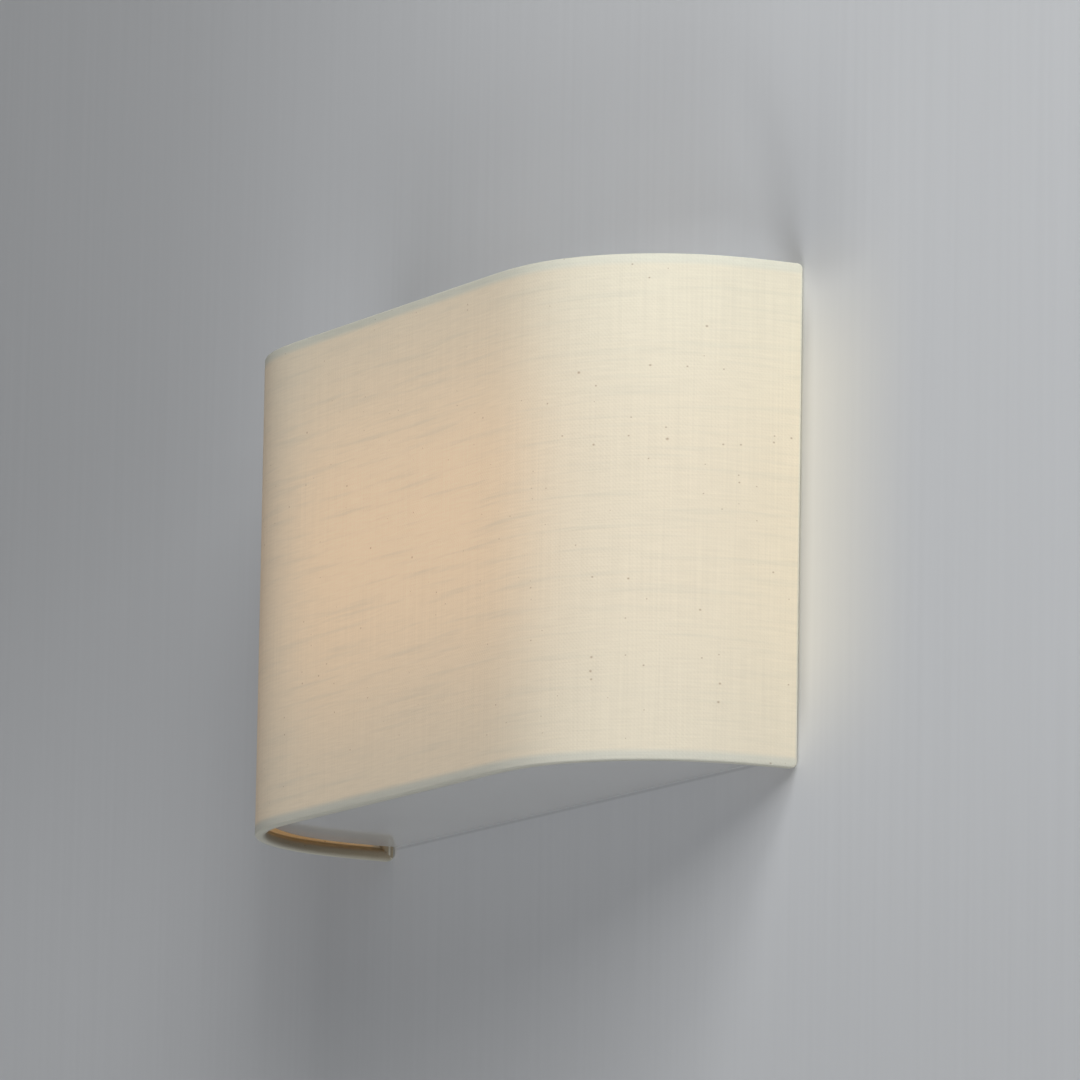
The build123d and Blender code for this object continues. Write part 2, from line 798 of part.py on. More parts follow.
earth_screw = pan_screws(
    [(0, earth_level)],
    back_thickness + lug_thickness,
    screw_radius,
    screw_head_radius,
    screw_head_thickness,
)
keep(earth_screw, "earth_screw")
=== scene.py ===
"""Fabric shade wall light, finished for looking at.

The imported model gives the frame. Each operator below makes or finishes one group of pieces, and
the last one sets up the wall, the light and the camera. Sizes are in metres.
"""

from math import cos, pi, radians, sin

import bmesh
import bpy
import numpy as np
from bpy.props import FloatProperty, FloatVectorProperty, IntProperty, PointerProperty
from mathutils import Matrix, Vector


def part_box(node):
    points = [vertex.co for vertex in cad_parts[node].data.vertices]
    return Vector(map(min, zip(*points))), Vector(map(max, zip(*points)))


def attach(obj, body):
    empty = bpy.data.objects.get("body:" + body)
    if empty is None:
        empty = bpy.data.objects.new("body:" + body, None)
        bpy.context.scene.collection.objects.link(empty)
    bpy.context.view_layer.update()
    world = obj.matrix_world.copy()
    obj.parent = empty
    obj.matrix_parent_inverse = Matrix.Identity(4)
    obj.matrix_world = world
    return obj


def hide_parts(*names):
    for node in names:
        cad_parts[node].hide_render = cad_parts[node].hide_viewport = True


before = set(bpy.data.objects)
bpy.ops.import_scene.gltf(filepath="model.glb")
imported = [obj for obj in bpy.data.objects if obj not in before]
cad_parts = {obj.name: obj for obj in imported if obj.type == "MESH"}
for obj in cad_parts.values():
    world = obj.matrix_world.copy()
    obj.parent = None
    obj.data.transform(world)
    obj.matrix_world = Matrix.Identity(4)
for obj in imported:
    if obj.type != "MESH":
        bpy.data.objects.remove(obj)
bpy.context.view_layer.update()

bl_info = {
    "name": "Fabric shade wall light",
    "version": (1, 0, 0),
    "blender": (4, 5, 0),
    "location": "View3D > Sidebar > Wall light",
    "description": "Cloth, metal, lamps and wiring of a wall light with a rounded fabric shade",
    "category": "Add Mesh",
}

MM = 0.001
MERGE_REACH = 0.002 * MM
PLAN_STEPS = 2001
ARC_STEPS = 7
SIDES = (("left", -1), ("right", 1))


def linear(code):
    """Linear red, green and blue of an sRGB hex colour."""
    srgb = np.array([int(code[place : place + 2], 16) for place in (1, 3, 5)]) / 255
    return tuple(np.where(srgb <= 0.04045, srgb / 12.92, ((srgb + 0.055) / 1.055) ** 2.4))


def length(name, description, value):
    """A size in metres that a user may change."""
    return FloatProperty(name=name, description=description, default=value, unit="LENGTH", precision=5)


def number(name, description, value):
    """A plain number that a user may change."""
    return FloatProperty(name=name, description=description, default=value)


def tilt(name, description, degrees):
    """An angle that a user may change, from its degrees."""
    return FloatProperty(name=name, description=description, default=radians(degrees), subtype="ANGLE")


def colour(name, description, code):
    """A colour that a user may change, from its sRGB hex value."""
    return FloatVectorProperty(
        name=name, description=description, default=linear(code), subtype="COLOR", size=3, min=0, max=1
    )


# Places that come from the frame
COVER_LOW, COVER_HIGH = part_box("fabric_cover")
TOP_RING_LOW, TOP_RING_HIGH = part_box("top_ring")
LAMP_LOW, LAMP_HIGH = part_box("left_lamp_glass")
CAP_LOW, CAP_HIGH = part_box("left_lamp_cap")
TUBE_LOW, TUBE_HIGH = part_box("left_threaded_tube")
NUT_LOW, NUT_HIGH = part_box("left_thumb_nut")
STUD_LOW, STUD_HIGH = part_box("shade_studs")
PLATE_LOW, PLATE_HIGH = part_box("top_plate")
ROLL_RADIUS = COVER_HIGH.z - (TOP_RING_LOW.z + TOP_RING_HIGH.z) / 2
LAMP_X = -(LAMP_LOW.x + LAMP_HIGH.x) / 2
LAMP_Y = (LAMP_LOW.y + LAMP_HIGH.y) / 2
NUT_X = -(NUT_LOW.x + NUT_HIGH.x) / 2
NUT_Y = (NUT_LOW.y + NUT_HIGH.y) / 2


# ---- Sizes and colours that a user may change ----


class ClothSettings(bpy.types.PropertyGroup):
    """Cloth of the shade"""

    corner_radius: length("Corner radius", "Tightest radius of the upright corners", 64.3 * MM)
    corner_ease: length("Corner ease", "Length over which a corner's bend grows", 36 * MM)
    thickness: length("Cloth thickness", "Thickness of the cloth", 0.7 * MM)
    outer_bend: length("Outer bend", "Bend from the cloth's face to its rim", 0.8 * MM)
    inner_bend: length("Inner bend", "Bend from the rim to the cloth's inside", 1.3 * MM)
    tuck_radius: length("Tuck radius", "Bend from the rolled edge to its turning", 1.0 * MM)
    turning_inset: length("Turning inset", "Depth of the turning's face inside the shade", 2.05 * MM)
    turning_width: length("Turning width", "Width of the cloth turned in at each edge", 10 * MM)
    thread_spacing: length("Thread spacing", "Distance from one thread to the next", 0.75 * MM)
    slub_length: length("Slub length", "Length of the thick places in the weft", 60 * MM)
    slub_width: length("Slub width", "Width of the thick places in the weft", 2.8 * MM)
    fleck_spacing: length("Fleck spacing", "Distance between places for seed flecks", 5 * MM)
    fleck_radius: length("Fleck radius", "Size of the largest seed flecks", 0.7 * MM)
    edge_band: length("Edge band", "Width of the rim that no light comes through", 3.0 * MM)
    wall_band: length("Wall band", "Width of the wall edge that no light comes through", 0.8 * MM)
    slit_height: length("Slit height", "Height above the rim from which the inside is lit", 4.9 * MM)
    wall_shadow: length("Wall shadow", "Width along the wall left dark inside", 7 * MM)
    glow_place: length("Glow place", "Middle of the glow along the cloth", 13 * MM)
    glow_width: length("Glow width", "Spread of the glow along the cloth", 96 * MM)
    glow_evenness: number("Glow evenness", "How long it stays strong", 5.6)
    glow_height: length("Glow height", "Middle of the glow in height", 7 * MM)
    glow_rise: length("Glow rise", "Spread of the glow in height", 72 * MM)
    glow_floor: number("Glow floor", "Share of the glow left far off", 0.39)
    natural: colour("Cloth", "Natural cotton and linen by daylight", "#D8D5C4")
    # Painted light: the cloth towards the top is given a paler colour for the light that falls from above
    painted_top_light: colour("Faded cloth", "Cloth towards the top, paler from daylight", "#DEDDCC")
    # Painted light and shade: the upper rim is given a lighter colour and the lower rim a darker one, for
    # light from above
    lit_upper_rim: colour("Upper rim", "Cloth of the upper rim, drawn tight over the wire", "#E6E4D3")
    shaded_lower_rim: colour("Lower rim", "Cloth of the lower rim, soiled by hands", "#D5D3C5")
    # Painted shade: the inside of the roll, under the closing plate, is given a dark brown for the shade it
    # lies in
    inside: colour("Inside of the roll", "Cloth inside the roll, soaked with adhesive", "#A99D86")
    fleck: colour("Flecks", "Seed flecks in the yarn", "#866848")
    glow: colour("Glow", "Lamp light that comes through the cloth", "#9B7141")
    slit: colour("Slit", "Lamp light on the inside past the closing plate", "#61421C")


class LampSettings(bpy.types.PropertyGroup):
    """Lamps and their light"""

    thread_pitch: length("Cap thread pitch", "Rise of the cap's thread in one turn", 2.54 * MM)
    thread_depth: length("Cap thread depth", "Depth of the cap's rolled thread", 0.45 * MM)
    thread_radius: length("Cap radius", "Radius over the cap's thread", 5.9 * MM)
    collar_height: length("Collar height", "Height of the cap's collar", 3.0 * MM)
    insulator_height: length("Insulator height", "Height of the glass between cap and contact", 2.4 * MM)
    contact_radius: length("Contact radius", "Radius of the contact under the insulator", 2.4 * MM)
    foot_taper: length("Foot taper", "Fall of the cap's radius to the insulator", 0.6 * MM)
    warm_white: colour("Warm white", "Colour of the lit envelope", "#FFE3B4")
    strength: number("Lamp strength", "Brightness of the envelope", 1.6)


class MetalSettings(bpy.types.PropertyGroup):
    """Sheet metal, screws and coatings"""

    stud_radius: length("Stud radius", "Radius over the stud's thread", 2.0 * MM)
    stud_pitch: length("Stud pitch", "Rise of the stud's thread in one turn", 0.7 * MM)
    stud_thread_depth: length("Stud thread depth", "Depth of the stud's thread", 0.34 * MM)
    stud_head_height: length("Stud head height", "Height of the stud's flat head", 1.0 * MM)
    tube_pitch: length("Tube pitch", "Rise of the threaded tube's thread in one turn", 1.0 * MM)
    tube_thread_depth: length("Tube thread depth", "Depth of the threaded tube's thread", 0.4 * MM)
    tube_bore: length("Tube bore", "Radius of the threaded tube's bore", 3.2 * MM)
    knurl_count: IntProperty(name="Knurls", description="Ridges round a thumb nut", default=36)
    knurl_depth: length("Knurl depth", "Depth of the knurling", 0.28 * MM)
    plate_coat: colour("Closing plates", "Smooth white coat of the closing plates", "#D9D9D8")
    wall_plate_coat: colour("Wall plate", "White coat of the wall plate", "#DEDEDC")
    wire_lacquer: colour("Frame wire", "Lacquer of the shade's wires", "#E2E0DA")


class StageSettings(bpy.types.PropertyGroup):
    """Wall, light and camera"""

    camera_place: FloatVectorProperty(
        name="Camera place",
        description="Where the camera stands",
        default=(2.9218, -1.5976, -0.5430),
        subtype="TRANSLATION",
        size=3,
    )
    camera_yaw: tilt("Yaw", "Turn to the left of straight at the wall", 61.644)
    camera_pitch: tilt("Pitch", "Tilt above the horizon", 9.462)
    camera_roll: tilt("Roll", "Turn about the line of sight", 0.938)
    lens: number("Lens", "Focal length in millimetres on a 36 mm sensor", 311.1)
    floor_drop: length("Floor drop", "Distance from the middle to the floor", 2.2)
    wall_width: length("Wall width", "Width of the backdrop", 5.0)
    wall_gap: length("Wall gap", "Distance from wall plate to backdrop", 0.3 * MM)
    wall_paint: colour("Wall", "Grey paint of the wall", "#CED0D2")
    painted_lamp_spill: colour("Wall by the shade", "Wall where lamp light spills past the shade", "#E2E0D8")
    floor_paint: colour("Floor", "Pale floor", "#D6D6D3")
    key_power: number("Key", "Watts of the soft light at the right", 23.5)
    near_power: number("Near", "Watts of the light at the upper right", 10.5)
    front_power: number("Front", "Watts of the light in front", 2.8)
    under_power: number("Under", "Watts of the light from the floor", 32)
    rear_power: number("Rear", "Watts of the light behind the wall", 20)
    ambient: number("Ambient", "Strength of the light from all around", 0.02)


# ---- Meshes ----


def new_object(name, data):
    """An object of the scene with this data."""
    made = bpy.data.objects.new(name, data)
    bpy.context.scene.collection.objects.link(made)
    return made


def make_piece(name, grids, body, material, sharp=radians(40)):
    """Joins grids of points into one smooth mesh, merged where they meet, and rides it on a body.

    Each grid is (points, uv), and its faces look along the cross product of its first and second
    direction. A grid that comes round on itself repeats its first row or column."""
    points, loops, charts, first = [], [], [], 0
    for grid, chart in grids:
        rows, columns = grid.shape[:2]
        index = first + np.arange(rows * columns).reshape(rows, columns)
        quads = np.stack([index[:-1, :-1], index[1:, :-1], index[1:, 1:], index[:-1, 1:]], axis=-1)
        points.append(grid.reshape(-1, 3))
        charts.append(chart.reshape(-1, 2))
        loops.append(quads.reshape(-1, 4))
        first += rows * columns
    points, charts, loops = np.concatenate(points), np.concatenate(charts), np.concatenate(loops)
    mesh = bpy.data.meshes.new(name)
    mesh.from_pydata(points.tolist(), [], loops.tolist())
    mesh.uv_layers.new(name="UVMap").data.foreach_set("uv", charts[loops.ravel()].ravel())
    tidy = bmesh.new()
    tidy.from_mesh(mesh)
    bmesh.ops.remove_doubles(tidy, verts=tidy.verts, dist=MERGE_REACH)
    bmesh.ops.dissolve_degenerate(tidy, edges=tidy.edges, dist=MERGE_REACH)
    tidy.to_mesh(mesh)
    tidy.free()
    mesh.shade_smooth()
    mesh.set_sharp_from_angle(angle=sharp)
    mesh.materials.append(material)
    piece = new_object(name, mesh)
    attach(piece, body)
    return piece


def stacked(*parts):
    """Points or charts from their coordinates."""
    return np.stack(np.broadcast_arrays(*parts), axis=-1)


def flip(grid):
    """The same grid with its faces looking the other way."""
    points, chart = grid
    return points[::-1], chart[::-1]


def way_along(first, second):
    """Length of the way along a section from its start, given both coordinates of its points."""
    return np.concatenate([[0], np.cumsum(np.hypot(np.diff(first), np.diff(second)))])


def turned_grid(radius, height, centre, around=48):
    """Surface turned about an upright axis: each (radius, height) pair swept round a full circle.

    radius may change with the angle too, as an array of angles by heights, which draws a thread."""
    angle = np.linspace(0, 2 * pi, around + 1)[:, None]
    radius = np.broadcast_to(radius, (around + 1, len(height)))
    x, y = centre[0] + radius * np.cos(angle), centre[1] + radius * np.sin(angle)
    chart = stacked(angle * np.max(radius), way_along(radius[0], height))
    return stacked(x, y, centre[2] + height), chart


def thread_radius(height, around, crest, depth, pitch, low, high):
    """Radius of a rounded thread: the crest less the depth times a wave that climbs one pitch a turn.

    The thread runs out over half a pitch at its low and high end."""
    angle = np.linspace(0, 2 * pi, around + 1)[:, None]
    wave = 0.5 - 0.5 * np.cos(2 * pi * height / pitch - angle)
    ends = np.clip(2 * (height - low) / pitch, 0, 1) * np.clip(2 * (high - height) / pitch, 0, 1)
    return crest - depth * (1 - ends * (1 - wave))


def rings(around, *radii):
    """Plain rings of these radii, to stack beside a thread."""
    return np.broadcast_to(radii, (around + 1, len(radii)))


def both(name):
    """A name on the left and on the right."""
    return [f"{side}_{name}" for side, _ in SIDES]


def finish_nodes(material, *names):
    """Gives CAD nodes their material."""
    for name in names:
        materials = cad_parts[name].data.materials
        materials.clear()
        materials.append(material)


# ---- Material nodes ----


def add_node(tree, kind, inputs=None, **settings):
    """Adds a node. inputs gives, by socket name or number, a value or another node's output."""
    made = tree.nodes.new("ShaderNode" + kind)
    for name, value in settings.items():
        setattr(made, name, value)
    for socket, value in (inputs or {}).items():
        if isinstance(value, bpy.types.NodeSocket):
            tree.links.new(value, made.inputs[socket])
        else:
            made.inputs[socket].default_value = value
    return made


def calc(tree, operation, *values):
    """Result of a math node."""
    return add_node(tree, "Math", dict(enumerate(values)), operation=operation).outputs[0]


def times(tree, first, second):
    """Product of two values."""
    return calc(tree, "MULTIPLY", first, second)


def plus(tree, value, factor, rest):
    """A value times a factor, plus the rest."""
    return calc(tree, "MULTIPLY_ADD", value, factor, rest)


def apart(tree, value, centre):
    """Distance of a value from a centre, either way."""
    return calc(tree, "ABSOLUTE", calc(tree, "SUBTRACT", value, centre))


def ramp(tree, value, low, high, start=0.0, end=1.0, smooth=True):
    """A value taken from one range to another and held at its ends."""
    shape = "SMOOTHSTEP" if smooth else "LINEAR"
    ends = {0: value, 1: low, 2: high, 3: start, 4: end}
    return add_node(tree, "MapRange", ends, interpolation_type=shape).outputs[0]


def fade(tree, value, low, high):
    """One up to the start of a range, and zero from its end."""
    return ramp(tree, value, low, high, 1.0, 0.0)


def stretch(tree, place, cell):
    """Place counted in cells of one size or of three."""
    sizes = (1 / np.broadcast_to(cell, 3)).tolist()
    return add_node(tree, "VectorMath", {0: place, 1: sizes}, operation="MULTIPLY").outputs[0]


def noise(tree, place, cell, detail=2.0, roughness=0.5):
    """Noise whose grain has the size or the three sizes of cell."""
    inputs = {"Vector": stretch(tree, place, cell), "Scale": 1.0, "Detail": detail, "Roughness": roughness}
    return add_node(tree, "TexNoise", inputs).outputs["Fac"]


def scaled(tree, tint, share):
    """A colour times a value."""
    return add_node(tree, "VectorMath", {0: tint, "Scale": share}, operation="SCALE").outputs[0]


def mixed(tree, share, first, second):
    """A mix of two colours."""
    inputs = {"Factor": share, "A": first, "B": second}
    return add_node(tree, "Mix", inputs, data_type="RGBA").outputs["Result"]


def object_place(tree):
    """Place in the object, in metres."""
    return add_node(tree, "TexCoord").outputs["Object"]


def surface(tree, inputs):
    """Principled surface with these inputs."""
    shader = add_node(tree, "BsdfPrincipled", inputs)
    add_node(tree, "OutputMaterial", {"Surface": shader.outputs[0]})


def relief(tree, height, strength, distance):
    """Normal of a fine relief."""
    inputs = {"Height": height, "Strength": strength, "Distance": distance}
    return add_node(tree, "Bump", inputs).outputs["Normal"]


def new_material(name):
    """An empty node material and its tree."""
    material = bpy.data.materials.new(name)
    material.use_nodes = True
    material.node_tree.nodes.clear()
    return material, material.node_tree


def rgba(value, alpha=1.0):
    """A colour with its alpha."""
    return (*value, alpha)


def cloth_zones(tree, cloth, away_s, away_z):
    """Zones of the flat cloth, by its distance from the middle both ways.

    Gives the rim that passes no light, the painted shade inside the roll, and the lit slit past the plate."""
    edge, inset, run, bead = rolled_edge(cloth)
    half_run = shade_plan(cloth)[0][-1]
    reach_s, reach_z = half_run - ROLL_RADIUS, COVER_HIGH.z - ROLL_RADIUS
    bend = run[np.argmax(inset >= 2 * ROLL_RADIUS - cloth.inner_bend - 0.01 * MM)]
    plate, turning = np.interp((cloth.slit_height, cloth.wall_shadow), edge[bead:], run[bead:])

    # Width over which zones blend. The rim's light and the roll's painted shade take longer
    soft = 0.5 * MM
    front_s, front_z = half_run - cloth.wall_band, COVER_HIGH.z - cloth.edge_band
    rim_s = ramp(tree, away_s, front_s - soft / 2, front_s + soft / 2)
    rim_z = ramp(tree, away_z, front_z - 1.7 * MM, front_z + 0.8 * MM)
    rim = calc(tree, "MAXIMUM", rim_s, rim_z)

    slit_low, slit_high = reach_z + plate - soft / 2, reach_z + plate + soft / 2
    roll_shade_z = ramp(tree, away_z, reach_z + bend - 1 * MM, reach_z + bend + 2.5 * MM)
    roll_shade_z = times(tree, roll_shade_z, fade(tree, away_z, slit_low, slit_high))
    roll_shade_s = times(
        tree,
        ramp(tree, away_s, reach_s + bend, reach_s + bend + soft),
        fade(tree, away_s, reach_s + turning - soft, reach_s + turning + soft),
    )
    seam = ramp(tree, apart(tree, away_s, reach_s + run[bead - 1]), 0.2 * MM, soft)
    dark = calc(tree, "MAXIMUM", roll_shade_z, times(tree, roll_shade_s, seam))

    lit_end = reach_s - cloth.wall_shadow
    slit = times(
        tree,
        ramp(tree, away_z, slit_low, slit_high),
        fade(tree, away_s, lit_end, lit_end + 2 * MM),
    )
    return rim, dark, slit


def cotton_linen_weave(cloth):
    """Natural cotton and linen, woven plain: matt, with slubs, seed flecks and painted lamp light through it,
    and painted light and shade at the top, the rims and inside the roll.

    The UV map is the flat cloth in metres, so threads run true round the corners and edges."""
    material, tree = new_material("cotton_linen_weave")
    flat = add_node(tree, "UVMap", uv_map="UVMap").outputs["UV"]
    place = add_node(tree, "SeparateXYZ", {0: flat}).outputs
    along, up = place["X"], place["Y"]
    away_s, away_z = calc(tree, "ABSOLUTE", along), calc(tree, "ABSOLUTE", up)

    # Single threads: long thin noise cells, one thread wide, along the weft and along the warp.
    # The real threads are 0.45 mm apart and drawn coarser, so that they show
    pitch = cloth.thread_spacing
    weft_cell, warp_cell = 14 * pitch, 60 * pitch
    weft = noise(tree, flat, (weft_cell, pitch, pitch))
    warp = noise(tree, flat, (pitch, warp_cell, pitch), 1.0)

    # Over and under: the product of two waves, one thread to half a wave, with threads that wander
    wander, wander_cell = 1.4, 9 * pitch
    drift = times(tree, noise(tree, flat, wander_cell), wander)
    waves = [calc(tree, "SINE", plus(tree, axis, pi / pitch, drift)) for axis in (along, up)]
    crossing = times(tree, *waves)

    # Slubs: thick soft places in the weft, tens of millimetres long, where a long noise is high
    slub_start, slub_full = 0.47, 0.84
    slubs = noise(tree, flat, (cloth.slub_length, cloth.slub_width, 1), 1.6)
    slubs = ramp(tree, slubs, slub_start, slub_full)

    # Seed flecks: small spots, longer than high, in the cells whose luck, a random number plus a
    # broad noise that draws them together, comes out highest. The luckiest are the largest
    size, sparse, luckiest = cloth.fleck_spacing, 1.36, 1.6
    cell = stretch(tree, flat, (1.3 * size, size, 1))
    cells = add_node(tree, "TexVoronoi", {"Vector": cell, "Scale": 1.0}, voronoi_dimensions="2D")
    luck = add_node(tree, "SeparateColor", {0: cells.outputs["Color"]}).outputs["Red"]
    luck = plus(tree, noise(tree, flat, 3 * size, 1.0), 0.9, luck)
    smallest, strength = 0.35, 0.6
    share = ramp(tree, luck, sparse, luckiest, smallest, 1.0, smooth=False)
    chosen = ramp(tree, luck, sparse - 0.01, sparse, 0.0, cloth.fleck_radius / size)
    spots = ramp(tree, cells.outputs["Distance"], times(tree, share, chosen), 0.0)
    flecks = times(tree, spots, strength)

    # Colour by daylight: thread by thread, a shade darker at the slubs. Painted light makes the cloth paler
    # towards the top and the upper rim lighter than the lower; painted shade darkens the inside of the roll
    rim, dark, slit = cloth_zones(tree, cloth, away_s, away_z)
    darkest, lightest, warp_share, slub_tone, crossing_tone = 0.95, 1.05, 0.8, -0.03, 0.006
    threads = plus(tree, warp, warp_share, weft)
    threads = ramp(tree, threads, 0.5, 1.3, darkest, lightest, smooth=False)
    tone = plus(tree, crossing, crossing_tone, plus(tree, slubs, slub_tone, threads))
    # Painted light: the rim goes from the darker lower colour to the lighter upper one with height
    rise = ramp(tree, up, -cloth.glow_rise, cloth.glow_rise)
    rim_light_tone = mixed(tree, rise, rgba(cloth.shaded_lower_rim), rgba(cloth.lit_upper_rim))
    # Painted light: the cloth turns paler towards the top
    top_light_share = ramp(tree, up, 0.0, COVER_HIGH.z)
    daylight = mixed(tree, top_light_share, rgba(cloth.natural), rgba(cloth.painted_top_light))
    daylight = mixed(tree, rim, daylight, rim_light_tone)
    # Painted shade inside the roll and along the wall edges
    daylight = mixed(tree, dark, daylight, rgba(cloth.inside))
    daylight = mixed(tree, flecks, scaled(tree, daylight, tone), rgba(cloth.fleck))

    # Lamp light through the cloth: strongest over the flat front and at the lamps' height,
    # held back by slubs and flecks, weaker far up and down, and none through the rim
    fall = [
        calc(tree, "POWER", calc(tree, "DIVIDE", apart(tree, axis, centre), spread), power)
        for axis, centre, spread, power in (
            (along, cloth.glow_place, cloth.glow_width, cloth.glow_evenness),
            (up, cloth.glow_height, cloth.glow_rise, 2.0),
        )
    ]
    glow = calc(tree, "EXPONENT", times(tree, calc(tree, "ADD", *fall), -1.0))
    floor, left_at_rim, slub_hold, fleck_hold = cloth.glow_floor, 0.75, -0.22, -0.6
    least = ramp(tree, away_z, 20 * MM, COVER_HIGH.z, floor, left_at_rim * floor)
    glow = plus(tree, glow, 1 - floor, least)
    glow = times(tree, glow, calc(tree, "SUBTRACT", 1.0, rim))
    held = times(tree, plus(tree, slubs, slub_hold, 1.0), plus(tree, flecks, fleck_hold, 1.0))
    glow = times(tree, glow, times(tree, tone, held))
    lights = {0: scaled(tree, cloth.glow, glow), 1: scaled(tree, cloth.slit, slit)}
    light = add_node(tree, "VectorMath", lights, operation="ADD").outputs[0]

    # Relief of the threads and slubs
    height = plus(tree, crossing, 0.25, weft)
    height = plus(tree, slubs, 0.5, plus(tree, warp, 0.6, height))
    skin = {
        "Base Color": daylight,
        "Roughness": 0.88,
        "Specular IOR Level": 0.25,
        "Sheen Weight": 0.12,
        "Sheen Roughness": 0.5,
        "Emission Color": light,
        "Emission Strength": 1.0,
        "Normal": relief(tree, height, 0.5, 0.12 * MM),
    }
    surface(tree, skin)
    return material


def opal_sheet(cloth):
    """Opal plastic sheet, calendered: milky, smooth on the side that faces the lamps, with a painted glow of
    lamp light.
    """
    material, tree = new_material("opal_sheet")
    cloud = noise(tree, object_place(tree), 14 * MM, 3.0)
    tone = mixed(tree, cloud, rgba(linear("#E9E2D2")), rgba(linear("#F4EFE3")))
    skin = {
        "Base Color": tone,
        "Roughness": 0.32,
        "IOR": 1.54,
        "Emission Color": rgba(cloth.glow),
        "Emission Strength": 0.5,
        "Normal": relief(tree, cloud, 0.2, 0.1 * MM),
    }
    surface(tree, skin)
    return material


def powder_coat(name, tint, grain, roughness, peel):
    """Baked powder coat on steel: an even colour with a fine orange peel, semi-gloss to satin."""
    material, tree = new_material(name)
    place = object_place(tree)
    broad = noise(tree, place, 60 * MM, 4.0)
    skin = {
        "Base Color": mixed(tree, broad, rgba([0.965 * part for part in tint]), rgba(tint)),
        "Roughness": ramp(tree, broad, 0.3, 0.7, roughness, roughness + 0.05),
        "IOR": 1.5,
        "Normal": relief(tree, noise(tree, place, grain), peel, 0.05 * MM),
    }
    surface(tree, skin)
    return material


def plated_metal(name, dark, light, grain, roughness):
    """Plated or drawn metal: a bright skin with drawing lines and fine tarnish.

    grain is the size of the drawing lines along each axis."""
    material, tree = new_material(name)
    place = object_place(tree)
    lines = noise(tree, place, grain, 3.0)
    tarnish = ramp(tree, noise(tree, place, 7 * MM, 5.0), 0.35, 0.65)
    skin = {
        "Base Color": mixed(tree, tarnish, rgba(linear(dark)), rgba(linear(light))),
        "Metallic": 1.0,
        "Roughness": ramp(tree, lines, 0.3, 0.7, roughness - 0.07, roughness + 0.07),
        "Normal": relief(tree, lines, 0.25, 0.02 * MM),
    }
    surface(tree, skin)
    return material


def moulded(name, dark, light, grain, roughness, ior, texture=0.3, coat=0.0):
    """Moulded plastic, rubber or glazed ware: a soft mottle under a skin with a fine texture."""
    material, tree = new_material(name)
    place = object_place(tree)
    grit = noise(tree, place, grain, 3.0)
    mottle = noise(tree, place, 9 * MM, 3.0)
    skin = {
        "Base Color": mixed(tree, mottle, rgba(linear(dark)), rgba(linear(light))),
        "Roughness": ramp(tree, grit, 0.3, 0.7, roughness - 0.05, roughness + 0.05),
        "IOR": ior,
        "Coat Weight": coat,
        "Coat Roughness": 0.08,
        "Normal": relief(tree, grit, texture, 0.03 * MM),
    }
    surface(tree, skin)
    return material


def frosted_envelope(lamp):
    """Glass frosted inside by acid, lit: even warm white, a little dimmer at the neck and the tip."""
    material, tree = new_material("frosted_envelope")
    place = object_place(tree)
    height = add_node(tree, "SeparateXYZ", {0: place}).outputs["Z"]
    brightest, dimming = (LAMP_LOW.z + LAMP_HIGH.z) / 2 - 6 * MM, -2.4
    share = calc(tree, "DIVIDE", calc(tree, "SUBTRACT", height, brightest), LAMP_HIGH.z - LAMP_LOW.z)
    bright = plus(tree, calc(tree, "POWER", share, 2.0), dimming, 1.0)
    skin = {
        "Base Color": rgba(linear("#F1EBDD")),
        "Roughness": 0.3,
        "IOR": 1.5,
        "Emission Color": scaled(tree, lamp.warm_white, bright),
        "Emission Strength": lamp.strength,
        "Normal": relief(tree, noise(tree, place, 0.6 * MM), 0.25, 0.05 * MM),
    }
    surface(tree, skin)
    return material


def phosphor_column():
    """Ceramic column printed with strips of yellow phosphor gel over the light emitting chips."""
    material, tree = new_material("phosphor_column")
    height = add_node(tree, "SeparateXYZ", {0: object_place(tree)}).outputs["Z"]
    strip_pitch = 3.2 * MM
    wave = calc(tree, "SINE", times(tree, height, 2 * pi / strip_pitch))
    tone = mixed(tree, ramp(tree, wave, 0.1, 0.4), rgba(linear("#E9DFC8")), rgba(linear("#F2B737")))
    surface(tree, {"Base Color": tone, "Roughness": 0.45, "Emission Color": tone, "Emission Strength": 2.0})
    return material


def one_sided(tree, paint, roughness):
    """Matt paint that is seen from its front only and stops no light, for the stage."""
    matt = add_node(tree, "BsdfDiffuse", {"Color": paint, "Roughness": roughness}).outputs[0]
    facing = add_node(tree, "NewGeometry").outputs["Backfacing"]
    shadow = add_node(tree, "LightPath").outputs["Is Shadow Ray"]
    hidden = calc(tree, "MAXIMUM", facing, shadow)
    clear = add_node(tree, "BsdfTransparent").outputs[0]
    shown = add_node(tree, "MixShader", {0: hidden, 1: matt, 2: clear}).outputs[0]
    add_node(tree, "OutputMaterial", {"Surface": shown})


def shaded(tree, tone, mask, share):
    """A tone made lighter or darker by a share where a mask is full."""
    return times(tree, tone, plus(tree, mask, share, 1.0))


